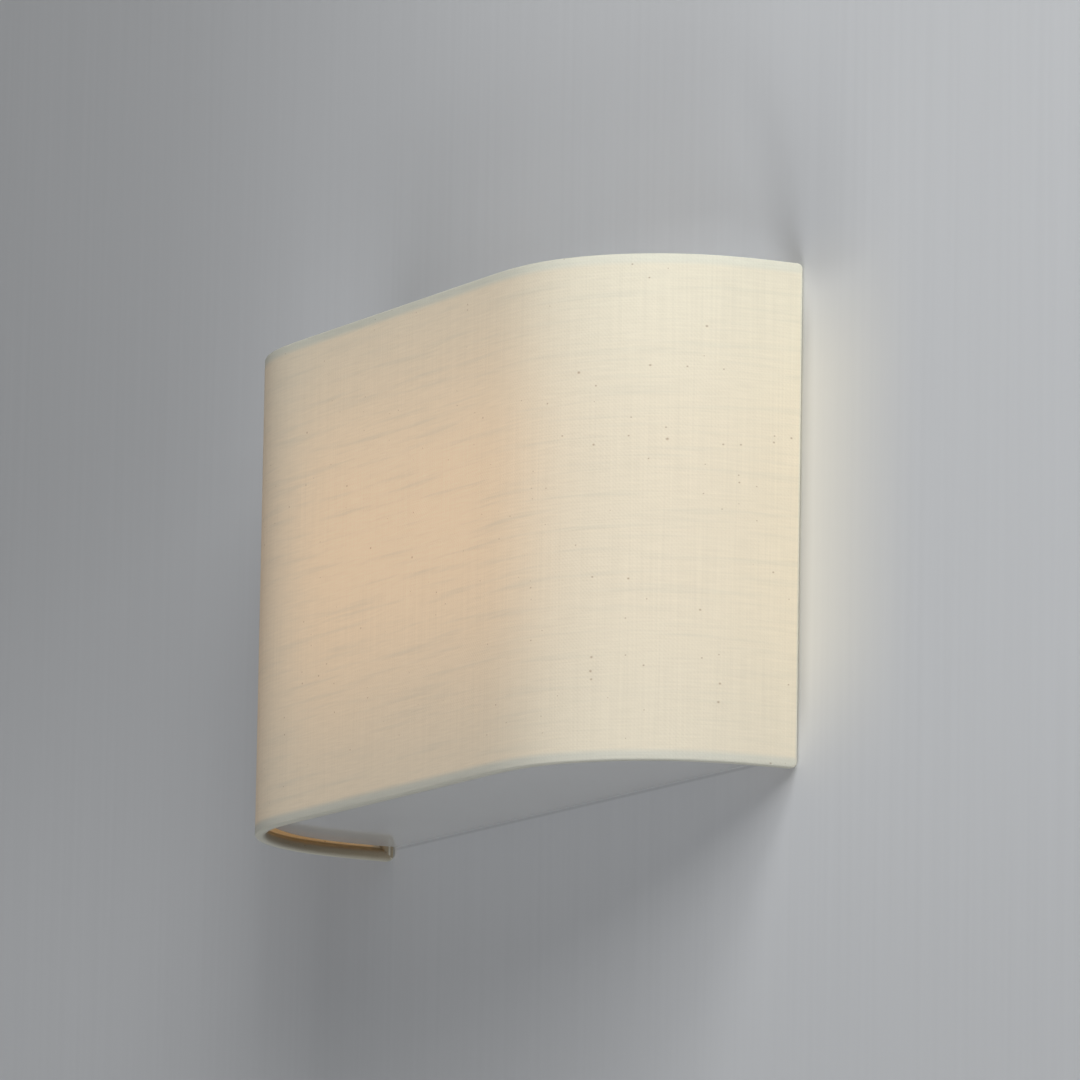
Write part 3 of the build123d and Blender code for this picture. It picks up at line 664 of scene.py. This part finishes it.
def wall_paint(stage):
    """Matt wall paint with faint upright brush lines, a little uneven, and painted lamp light beside the
    shade.

    Masks by the place on the wall make its tone lighter or darker by a share: painted light and painted
    shade."""
    material, tree = new_material("wall_paint")
    place = object_place(tree)
    axes = add_node(tree, "SeparateXYZ", {0: place}).outputs
    x, z = axes["X"], axes["Z"]
    across, height = calc(tree, "ABSOLUTE", x), calc(tree, "ABSOLUTE", z)
    off_edge = apart(tree, x, COVER_HIGH.x)
    lines = noise(tree, place, (4 * MM, 1, 200 * MM), 4.0)
    tone = ramp(tree, lines, 0.3, 0.7, 0.988, 1.012, smooth=False)

    # Painted shade: the far upper left, and all that is low, darker where the studio light falls off
    far = times(tree, ramp(tree, x, 0.05, -0.4), ramp(tree, z, -0.2, 0.12))
    low = ramp(tree, z, -0.05, -0.2)

    # Over the shade: painted light up to a slanting line, and painted shade past it
    over = times(tree, ramp(tree, z, 75 * MM, 90 * MM), fade(tree, z, 90 * MM, 190 * MM))
    slant = 0.45
    past = ramp(tree, plus(tree, z, slant, x), 166 * MM, 198 * MM)
    lit = times(tree, ramp(tree, x, -0.34, -0.1), calc(tree, "SUBTRACT", 1.0, past))
    shut = times(tree, past, fade(tree, x, 158 * MM, 210 * MM))

    # Beside the shade: painted spill of lamp light, and a painted contact shadow at its two corners, close to
    # the wall
    beside = times(tree, fade(tree, off_edge, 0.0, 85 * MM), fade(tree, height, 40 * MM, 105 * MM))
    contact = times(tree, fade(tree, off_edge, 0.0, 8 * MM), fade(tree, height, 60 * MM, 84 * MM))

    # Painted shadow in the joint under the closing plate's rear edge
    joint_shadow = apart(tree, z, -PLATE_HIGH.z - 0.6 * MM)
    joint_shadow = fade(tree, joint_shadow, 0.1 * MM, 0.9 * MM)
    joint_shadow = times(tree, joint_shadow, fade(tree, across, PLATE_HIGH.x, PLATE_HIGH.x + 2 * MM))

    for mask, share in (
        (far, -0.24),
        (low, -0.06),
        (times(tree, over, lit), 0.17),
        (times(tree, over, shut), -0.11),
        (contact, -0.18),
        (joint_shadow, -0.16),
    ):
        tone = shaded(tree, tone, mask, share)
    paint = scaled(tree, mixed(tree, beside, rgba(stage.wall_paint), rgba(stage.painted_lamp_spill)), tone)
    one_sided(tree, paint, 0.6)
    return material


def floor_paint(stage):
    """Plain pale floor."""
    material, tree = new_material("floor_paint")
    one_sided(tree, rgba(stage.floor_paint), 0.5)
    return material


# ---- Shade ----


def running_sum(values, run):
    """Sum of values along a run, by the trapezium rule, from zero at its start."""
    return np.concatenate([[0], np.cumsum((values[1:] + values[:-1]) / 2 * np.diff(run))])


def shade_plan(cloth):
    """Plan of the shade from the middle of the front to the wall edge: run, turn, x and y as a table.

    A corner's curvature grows evenly, holds and fades evenly. Its turn is the running sum of that,
    and x and y are the running sums of the turn's cosine and sine. Flats reach to the CAD's faces."""
    bend = cloth.corner_radius * pi / 2 + cloth.corner_ease
    run = np.linspace(0, bend, PLAN_STEPS)
    curvature = np.clip(np.minimum(run, bend - run) / cloth.corner_ease, 0, 1) / cloth.corner_radius
    turn = running_sum(curvature, run)
    x, y = running_sum(np.cos(turn), run), running_sum(np.sin(turn), run)
    flat, side = COVER_HIGH.x - x[-1], COVER_HIGH.y - COVER_LOW.y - y[-1]
    return (
        np.concatenate([[0], flat + run, [flat + bend + side]]),
        np.concatenate([[0], turn, [pi / 2]]),
        np.concatenate([[0], flat + x, [COVER_HIGH.x]]),
        COVER_LOW.y + np.concatenate([[0], y, [y[-1] + side]]),
    )


def on_shade(along, up, inset, plan):
    """Points of the shade from the distance along its plan, the height and the depth inside its face.

    The plan is the same each way from the middle of the front."""
    run, turn, x, y = plan
    reach = np.abs(along)
    turn = np.interp(reach, run, turn)
    x = np.sign(along) * (np.interp(reach, run, x) - inset * np.sin(turn))
    y = np.interp(reach, run, y) + inset * np.cos(turn)
    return stacked(x, y, up)


def arc(centre, radius, first, last, steps):
    """Points of an arc as distance in from the edge and depth inside the face, by its angles."""
    angle = np.linspace(first, last, steps)
    return centre[0] - radius * np.sin(angle), centre[1] - radius * np.cos(angle)


def rolled_edge(cloth):
    """Section of a rolled edge as distance in from the edge, depth inside the face and run of cloth.

    The cloth bends from its face to the rim and from the rim to the inside, round the wire. A last
    arc about the wire and a reverse arc bring it back to its own inside, where the turning lies
    flat. The fourth value is the number of points that make the way round the wire."""
    roll, tuck, outer, inner = ROLL_RADIUS, cloth.tuck_radius, cloth.outer_bend, cloth.inner_bend
    lean = np.arccos((cloth.turning_inset - roll + tuck) / (roll + tuck))
    tuck_edge = roll + (roll + tuck) * np.sin(lean)
    tuck_inset = roll + (roll + tuck) * np.cos(lean)
    flat = np.linspace(tuck_edge, cloth.turning_width, 4)[1:]
    pieces = [
        (np.array([roll]), np.array([0.0])),
        arc((outer, outer), outer, 0, pi / 2, ARC_STEPS),
        arc((inner, 2 * roll - inner), inner, pi / 2, pi, ARC_STEPS),
        (np.array([roll]), np.array([2 * roll])),
        arc((roll, roll), roll, pi, pi + lean, ARC_STEPS),
        arc((tuck_edge, tuck_inset), tuck, lean, 0, ARC_STEPS),
        (flat, np.full(3, cloth.turning_inset)),
    ]
    bead = sum(len(piece[0]) for piece in pieces[:4])
    pieces[4], pieces[5] = [tuple(part[1:] for part in piece) for piece in pieces[4:6]]
    edge, inset = (np.concatenate(parts) for parts in zip(*pieces))
    return edge, inset, way_along(edge, inset), bead


def cloth_grids(cloth):
    """The cloth as a flat middle, four rolled edges and four corners, all as one smooth skin.

    An edge carries the rolled section along the middle's border. Where two edges meet, the half
    circle turns through a quarter round the corner, and the turnings meet on a mitre."""
    edge, inset, run, bead = rolled_edge(cloth)
    plan = shade_plan(cloth)
    half_run = plan[0][-1]
    reach_s, reach_z = half_run - ROLL_RADIUS, COVER_HIGH.z - ROLL_RADIUS
    columns, rows, fan_rows = 209, 91, 9
    along, up = np.linspace(-reach_s, reach_s, columns), np.linspace(-reach_z, reach_z, rows)
    s, z = np.meshgrid(along, up, indexing="ij")
    grids = [(on_shade(s, z, 0, plan), stacked(s, z))]
    inner = (edge > ROLL_RADIUS) & (np.arange(len(edge)) >= bead)
    mitre_s = np.where(inner, (half_run - edge) / reach_s, 1.0)
    mitre_z = np.where(inner, (COVER_HIGH.z - edge) / reach_z, 1.0)
    for sign in (-1, 1):
        s = along[:, None] * mitre_s
        chart = stacked(s, sign * (reach_z + run))
        strip = (on_shade(s, sign * (COVER_HIGH.z - edge), inset, plan), chart)
        grids.append(strip if sign > 0 else flip(strip))
        z = up[:, None] * mitre_z
        chart = stacked(sign * (reach_s + run), z)
        strip = (on_shade(sign * (half_run - edge), z, inset, plan), chart)
        grids.append(flip(strip) if sign > 0 else strip)
    fan = np.linspace(0, pi / 2, fan_rows)[:, None]
    swell, spread = ROLL_RADIUS - edge[:bead], run[:bead]
    for sign_s in (-1, 1):
        for sign_z in (-1, 1):
            s = sign_s * (reach_s + swell * np.sin(fan))
            z = sign_z * (reach_z + swell * np.cos(fan))
            chart_s = sign_s * (reach_s + spread * np.sin(fan))
            chart_z = sign_z * (reach_z + spread * np.cos(fan))
            patch = (on_shade(s, z, inset[:bead], plan), stacked(chart_s, chart_z))
            grids.append(patch if sign_s * sign_z > 0 else flip(patch))
    return grids, 2 * (reach_s + run[-1]), 2 * (reach_z + run[-1])


class WALLLIGHT_OT_shade_cloth(bpy.types.Operator):
    """Cloth of the shade, drawn over its sheet and rolled round the wires at all four edges"""

    bl_idname = "wall_light.shade_cloth"
    bl_label = "Shade cloth"

    def execute(self, context):
        cloth = context.scene.wall_light_cloth
        grids, flat_width, flat_length = cloth_grids(cloth)
        piece = make_piece("shade_cloth", grids, "shade", cotton_linen_weave(cloth))
        solidify = piece.modifiers.new("cloth_thickness", "SOLIDIFY")
        solidify.thickness = cloth.thickness
        solidify.offset = -1
        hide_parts("fabric_cover")
        return {"FINISHED"}


class WALLLIGHT_OT_shade_frame(bpy.types.Operator):
    """Opal sheet behind the cloth, and the wires and strips that carry the shade"""

    bl_idname = "wall_light.shade_frame"
    bl_label = "Shade frame"

    def execute(self, context):
        tint = context.scene.wall_light_metal.wire_lacquer
        lacquer = powder_coat("wire_lacquer", tint, 0.5 * MM, 0.38, 0.25)
        finish_nodes(opal_sheet(context.scene.wall_light_cloth), "shade_liner")
        finish_nodes(lacquer, "top_ring", "bottom_ring", *both("upright"), *both("hanger"))
        return {"FINISHED"}


class WALLLIGHT_OT_plates(bpy.types.Operator):
    """Closing plates, wall plate and the bushing of the cable hole"""

    bl_idname = "wall_light.plates"
    bl_label = "Plates"

    def execute(self, context):
        metal = context.scene.wall_light_metal
        smooth = powder_coat("smooth_white_coat", metal.plate_coat, 1.6 * MM, 0.035, 0.03)
        satin = powder_coat("satin_white_coat", metal.wall_plate_coat, 0.9 * MM, 0.4, 0.35)
        rubber = moulded("bushing_rubber", "#17181A", "#232427", 0.5 * MM, 0.62, 1.52)
        finish_nodes(smooth, "bottom_plate", "top_plate")
        finish_nodes(satin, "back_plate")
        finish_nodes(rubber, "cable_bushing")
        return {"FINISHED"}


def nut_grid(x, metal):
    """Thumb nut: a disc whose rim is cut by two sets of slanting grooves, with broken edges.

    The rim's radius falls by the knurl's depth where either slanting wave is low."""
    radius, high = (NUT_HIGH.x - NUT_LOW.x) / 2, NUT_HIGH.z - NUT_LOW.z
    bore, bevel = metal.stud_radius + 0.05 * MM, 0.35 * MM
    around, slant_rise, flank = 6 * metal.knurl_count, 1.5 * MM, 1.6
    height = np.linspace(bevel, high - bevel, 13)
    slant = metal.knurl_count * np.linspace(0, 2 * pi, around + 1)[:, None]
    climb = 2 * pi * height / slant_rise
    wave = np.minimum(np.abs(np.sin((slant + climb) / 2)), np.abs(np.sin((slant - climb) / 2)))
    rim = radius - metal.knurl_depth * (1 - np.minimum(flank * wave, 1))
    foot = rings(around, bore, bore + bevel, radius - bevel)
    head = rings(around, radius - bevel, bore + bevel, bore, bore)
    heights = np.concatenate([[bevel, 0, 0], height, [high, high, high - bevel, bevel]])
    return turned_grid(np.hstack([foot, rim, head]), heights, (x, NUT_Y, NUT_LOW.z), around)


def stud_grid(x, metal):
    """Stud: a flat head with broken edges, a plain foot through the plate, and a rounded thread."""
    around, edge = 32, 0.2 * MM
    radius, pitch, depth = metal.stud_radius, metal.stud_pitch, metal.stud_thread_depth
    head, wide = metal.stud_head_height, 2 * radius
    top = STUD_HIGH.z - STUD_LOW.z
    foot = PLATE_HIGH.z - STUD_LOW.z + edge
    height = np.arange(foot, top - edge, pitch / 8)
    crest = thread_radius(height, around, radius, depth, pitch, foot, top)
    lower, tip = rings(around, 0, wide - edge, wide, wide, radius, radius), rings(around, radius - depth, 0)
    heights = np.concatenate([[0, 0, edge, head, head, foot], height, [top, top]])
    return turned_grid(np.hstack([lower, crest, tip]), heights, (x, NUT_Y, STUD_LOW.z), around)


class WALLLIGHT_OT_fixings(bpy.types.Operator):
    """Threaded studs, knurled thumb nuts and all the slotted screws"""

    bl_idname = "wall_light.fixings"
    bl_label = "Fixings"

    def execute(self, context):
        metal = context.scene.wall_light_metal
        zinc = plated_metal("zinc_plated_screw", "#8E9299", "#B9BDC4", 0.25 * MM, 0.34)
        lines = (0.2 * MM, 0.2 * MM, 0.7 * MM)
        nickel = plated_metal("nickel_plated_nut", "#A9A59B", "#CFCBC0", lines, 0.24)
        for side, sign in SIDES:
            grids = [nut_grid(sign * NUT_X, metal)]
            nut = make_piece(f"{side}_knurled_nut", grids, f"{side}_nut", nickel, radians(30))
            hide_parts(f"{side}_thumb_nut")
        studs = [stud_grid(sign * NUT_X, metal) for _, sign in SIDES]
        piece = make_piece("threaded_studs", studs, "root", zinc)
        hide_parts("shade_studs")
        finish_nodes(zinc, "bracket_screws", "terminal_screws", "clamp_screws")
        return {"FINISHED"}


# ---- Lamps ----


def tube_grid(x, metal):
    """Threaded tube: a bore, flat ends and a rounded thread."""
    around, end = 48, 0.3 * MM
    radius, high = (TUBE_HIGH.x - TUBE_LOW.x) / 2, TUBE_HIGH.z - TUBE_LOW.z
    bore, depth, pitch = metal.tube_bore, metal.tube_thread_depth, metal.tube_pitch
    height = np.arange(end, high - end, pitch / 8)
    crest = thread_radius(height, around, radius, depth, pitch, 0, high)
    rows = [rings(around, bore, radius - depth), crest, rings(around, radius - depth, bore, bore)]
    heights = np.concatenate([[0, 0], height, [high, high, 0]])
    return turned_grid(np.hstack(rows), heights, (x, LAMP_Y, TUBE_LOW.z), around)


class WALLLIGHT_OT_lamp_holders(bpy.types.Operator):
    """Brackets, holder bodies, screw shells, contacts and threaded tubes"""

    bl_idname = "wall_light.lamp_holders"
    bl_label = "Lamp holders"

    def execute(self, context):
        metal = context.scene.wall_light_metal
        sheet = plated_metal("zinc_plated_sheet", "#9A9EA3", "#BFC3C7", (3 * MM, 0.3 * MM, 0.3 * MM), 0.36)
        turned = plated_metal("zinc_plated_tube", "#8B8F95", "#B3B7BD", (0.2 * MM, 0.2 * MM, 0.05 * MM), 0.32)
        brass = plated_metal("drawn_brass", "#A8843F", "#D3B06A", (0.25 * MM, 0.25 * MM, 2 * MM), 0.28)
        glaze = moulded("white_glazed_porcelain", "#E0DBD0", "#EFEBE2", 1.2 * MM, 0.16, 1.5, 0.12, 0.4)
        for side, sign in SIDES:
            grids = [tube_grid(sign * LAMP_X, metal)]
            tube = make_piece(f"{side}_tube_thread", grids, "root", turned)
            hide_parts(f"{side}_threaded_tube")
        finish_nodes(sheet, *both("lamp_bracket"))
        finish_nodes(turned, *both("tube_nut"))
        finish_nodes(glaze, *both("holder_body"))
        finish_nodes(brass, *both("screw_shell"), *both("centre_contact"))
        return {"FINISHED"}


def cap_grid(x, lamp):
    """Lamp cap: a tapered foot, a rolled thread, and a collar with rounded edges."""
    around, bend, lead = 64, 0.3 * MM, 0.4 * MM
    low, top = CAP_LOW.z + lamp.insulator_height, CAP_HIGH.z
    rise, lift = top - lamp.collar_height - low, top - low
    height = np.arange(lead, rise, lamp.thread_pitch / 16)
    crest = thread_radius(
        height, around, lamp.thread_radius, lamp.thread_depth, lamp.thread_pitch, 0, rise
    )
    root, collar = lamp.thread_radius - lamp.thread_depth, (CAP_HIGH.x - CAP_LOW.x) / 2
    foot = rings(around, root - lamp.foot_taper, root)
    neck = rings(around, root, collar - bend, collar, collar, collar - bend, 0)
    heights = np.concatenate([[0, bend], height, [rise, rise, rise + bend, lift - bend, lift, lift]])
    return turned_grid(np.hstack([foot, crest, neck]), heights, (x, LAMP_Y, low), around)


def insulator_grid(x, lamp):
    """Cone of black glass between cap and contact, whose radius follows a quarter of a sine wave."""
    fall = np.linspace(0, 1, 9)
    wide = lamp.thread_radius - lamp.thread_depth - lamp.foot_taper
    cone = lamp.contact_radius + (wide - lamp.contact_radius) * np.sin(fall * pi / 2)
    levels = np.concatenate([[0], fall, [1]]) * lamp.insulator_height
    return turned_grid(np.concatenate([[0], cone, [0]]), levels, (x, LAMP_Y, CAP_LOW.z), 40)


class WALLLIGHT_OT_lamps(bpy.types.Operator):
    """Lit candle lamps: rolled screw cap, insulator, contact, emitter and frosted envelope"""

    bl_idname = "wall_light.lamps"
    bl_label = "Lamps"

    def execute(self, context):
        lamp = context.scene.wall_light_lamp
        nickel = plated_metal("nickel_cap", "#A5A199", "#C9C5BB", (0.4 * MM, 0.4 * MM, 1.3 * MM), 0.26)
        solder = plated_metal("solder_button", "#8C8E90", "#B4B5B4", 0.8 * MM, 0.42)
        black = moulded("black_insulator_glass", "#0D0C10", "#1A1820", 2 * MM, 0.14, 1.52, 0.1, 0.3)
        for side, sign in SIDES:
            grids, body = [cap_grid(sign * LAMP_X, lamp)], f"{side}_lamp"
            cap = make_piece(f"{side}_rolled_cap", grids, body, nickel)
            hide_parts(f"{side}_lamp_cap")
            grids = [insulator_grid(sign * LAMP_X, lamp)]
            make_piece(f"{side}_insulator", grids, body, black)
        finish_nodes(solder, *both("lamp_contact"))
        finish_nodes(frosted_envelope(lamp), *both("lamp_glass"))
        finish_nodes(phosphor_column(), *both("lamp_emitter"))
        return {"FINISHED"}


# ---- Wiring ----


class WALLLIGHT_OT_wiring(bpy.types.Operator):
    """Terminal block, wires, clips and the earth screw with its lug"""

    bl_idname = "wall_light.wiring"
    bl_label = "Wiring"

    def execute(self, context):
        nylon = moulded("natural_nylon", "#D5D1C4", "#E4E1D6", 0.8 * MM, 0.42, 1.53)
        brass = plated_metal("terminal_brass", "#A17E3C", "#CBA862", 0.3 * MM, 0.33)
        green_brass = plated_metal("earth_screw_brass", "#7F8240", "#A8A65C", 0.3 * MM, 0.36)
        tinned = plated_metal("tinned_copper", "#A7A49F", "#C9C6C1", 0.5 * MM, 0.38)
        black = moulded("black_insulation", "#0B0B0C", "#151516", 0.7 * MM, 0.4, 1.53, 0.15)
        white = moulded("white_insulation", "#D3D2CC", "#E2E1DC", 0.7 * MM, 0.4, 1.53, 0.15)
        green = moulded("green_insulation", "#17602B", "#1F7336", 0.7 * MM, 0.4, 1.53, 0.15)
        finish_nodes(nylon, "terminal_block", *both("wire_clip"))
        finish_nodes(brass, "terminal_barrels")
        finish_nodes(green_brass, "earth_screw")
        finish_nodes(tinned, "earth_lug")
        finish_nodes(green, "earth_wire")
        finish_nodes(black, *both("live_wire"))
        finish_nodes(white, *both("neutral_wire"))
        return {"FINISHED"}


# ---- Stage ----


def stage_sheet(name, centre, first, second, material):
    """Flat sheet of the stage, spanned by two half sides. Its face looks along their cross product."""
    sides = np.array([(-1, -1), (1, -1), (1, 1), (-1, 1)], float)
    points = np.array(centre) + sides[:, :1] * np.array(first) + sides[:, 1:] * np.array(second)
    mesh = bpy.data.meshes.new(name)
    mesh.from_pydata(points.tolist(), [], [(0, 1, 2, 3)])
    mesh.materials.append(material)
    sheet = new_object(name, mesh)


# The studio's soft square lights: name, place and width in metres, colour
LIGHTS = (
    ("key", (2.1, -0.75, 0.95), 1.0, "#FFFFFF"),
    ("near", (1.0, -0.6, 1.2), 0.7, "#FFFFFF"),
    ("front", (0.3, -2.6, 0.6), 1.6, "#FFFFFF"),
    ("under", (0.9, -2.0, -1.9), 2.2, "#FBFCFF"),
    ("rear", (0.6, 2.2, 0.9), 1.6, "#FFFFFF"),
)


def soft_light(name, place, size, tint, power):
    """Square soft light at a place, turned to the origin."""
    light = bpy.data.lights.new(name, "AREA")
    light.shape = "SQUARE"
    light.size = size
    light.energy = power
    light.color = linear(tint)
    lamp = new_object(name, light)
    lamp.location = place
    lamp.rotation_euler = (-Vector(place)).to_track_quat("-Z", "Y").to_euler()


class WALLLIGHT_OT_stage(bpy.types.Operator):
    """Wall, floor, soft studio light and the camera at the photograph's angle"""

    bl_idname = "wall_light.stage"
    bl_label = "Stage"

    def execute(self, context):
        scene = context.scene
        stage = scene.wall_light_stage
        half = stage.wall_width / 2
        wall_middle = (0, stage.wall_gap, half - stage.floor_drop)
        stage_sheet("wall", wall_middle, (half, 0, 0), (0, 0, half), wall_paint(stage))
        stage_sheet("floor", (0, 0, -stage.floor_drop), (half, 0, 0), (0, half, 0), floor_paint(stage))
        for name, place, size, tint in LIGHTS:
            soft_light(name, place, size, tint, getattr(stage, f"{name}_power"))
        world = bpy.data.worlds.new("studio")
        world.use_nodes = True
        sky = world.node_tree.nodes["Background"].inputs
        sky["Color"].default_value = rgba(linear("#EDEFF2"))
        sky["Strength"].default_value = stage.ambient
        scene.world = world
        scene.view_settings.view_transform = "Standard"

        yaw, pitch, roll = stage.camera_yaw, stage.camera_pitch, stage.camera_roll
        ahead = Vector((-sin(yaw) * cos(pitch), cos(yaw) * cos(pitch), sin(pitch)))
        level = Vector((cos(yaw), sin(yaw), 0))
        upright = level.cross(ahead)
        right = cos(roll) * level + sin(roll) * upright
        up = cos(roll) * upright - sin(roll) * level
        camera = new_object("camera", bpy.data.cameras.new("camera"))
        camera.data.lens = stage.lens
        camera.data.sensor_width = 36
        camera.data.clip_end = 20
        camera.matrix_world = Matrix.Translation(stage.camera_place) @ Matrix(
            (right, up, -ahead)
        ).transposed().to_4x4()
        scene.camera = camera
        return {"FINISHED"}


# ---- Add-on -------------------------------------------------------------------------------


class WALLLIGHT_PT_pieces(bpy.types.Panel):
    """Buttons that make each group of pieces"""

    bl_idname = "WALLLIGHT_PT_pieces"
    bl_label = "Fabric shade wall light"
    bl_space_type = "VIEW_3D"
    bl_region_type = "UI"
    bl_category = "Wall light"

    def draw(self, context):
        for operator in OPERATORS:
            self.layout.operator(operator.bl_idname)


SETTINGS = {
    "wall_light_cloth": ClothSettings,
    "wall_light_lamp": LampSettings,
    "wall_light_metal": MetalSettings,
    "wall_light_stage": StageSettings,
}
OPERATORS = (
    WALLLIGHT_OT_stage,
    WALLLIGHT_OT_shade_cloth,
    WALLLIGHT_OT_shade_frame,
    WALLLIGHT_OT_plates,
    WALLLIGHT_OT_fixings,
    WALLLIGHT_OT_lamp_holders,
    WALLLIGHT_OT_lamps,
    WALLLIGHT_OT_wiring,
)


def register():
    """Registers the settings, the operators and the panel."""
    for name, settings in SETTINGS.items():
        bpy.utils.register_class(settings)
        setattr(bpy.types.Scene, name, PointerProperty(type=settings))
    for kind in (*OPERATORS, WALLLIGHT_PT_pieces):
        bpy.utils.register_class(kind)


def unregister():
    """Takes the panel, the operators and the settings out again."""
    for kind in (WALLLIGHT_PT_pieces, *reversed(OPERATORS)):
        bpy.utils.unregister_class(kind)
    for name, settings in reversed(SETTINGS.items()):
        delattr(bpy.types.Scene, name)
        bpy.utils.unregister_class(settings)


def main():
    register()
    bpy.ops.wall_light.stage()
    bpy.ops.wall_light.shade_cloth()
    bpy.ops.wall_light.shade_frame()
    bpy.ops.wall_light.plates()
    bpy.ops.wall_light.fixings()
    bpy.ops.wall_light.lamp_holders()
    bpy.ops.wall_light.lamps()
    bpy.ops.wall_light.wiring()


if __name__ == "__main__":
    main()
